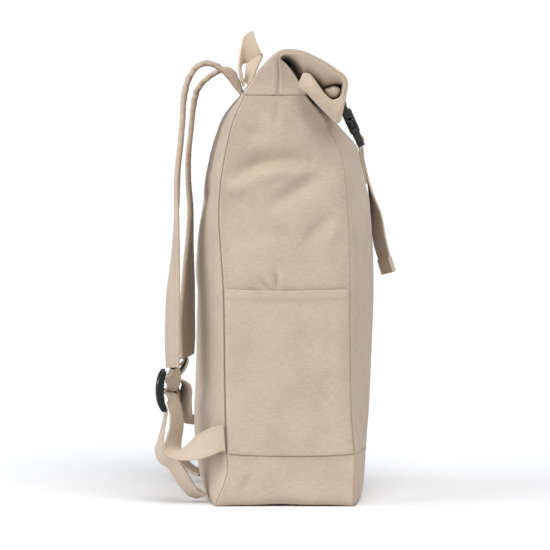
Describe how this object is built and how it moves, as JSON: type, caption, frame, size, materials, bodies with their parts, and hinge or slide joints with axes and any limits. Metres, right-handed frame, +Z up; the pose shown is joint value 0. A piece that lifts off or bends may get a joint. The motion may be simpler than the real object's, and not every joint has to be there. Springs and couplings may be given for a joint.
{
  "type": "rolltop backpack",
  "caption": "Rolltop backpack in plain canvas with padded shoulder straps, side patch pockets, a webbing grab handle and a side-release buckle on the rolled top.",
  "frame": {"origin": "on the floor under the middle of the base", "axes": "+Z up; the buckle side faces -Y, the shoulder straps face +Y, the wearer's left is -X"},
  "size_m": [0.3414, 0.2381, 0.4614],
  "materials": {
    "canvas": "plain woven cotton canvas, matte",
    "webbing": "woven cotton webbing, matte",
    "plastic": "moulded, fine matte"
  },
  "bodies": {
    "root": {"back_panel": "canvas", "front_panel": "canvas", "side_panel_left": "canvas", "side_panel_right": "canvas", "side_pocket_left": "canvas", "side_pocket_right": "canvas", "base_tray": "canvas", "roll_collar": "canvas", "shoulder_strap_left": "canvas", "shoulder_strap_right": "canvas", "strap_loop_left": "webbing", "strap_loop_right": "webbing", "lower_webbing_left": "webbing", "lower_webbing_right": "webbing", "grab_handle": "webbing", "roll_webbing": "webbing", "closure_webbing": "webbing", "ladder_lock_left": "plastic", "ladder_lock_right": "plastic", "buckle_female": "plastic", "buckle_male": "plastic"}
  },
  "joints": []
}
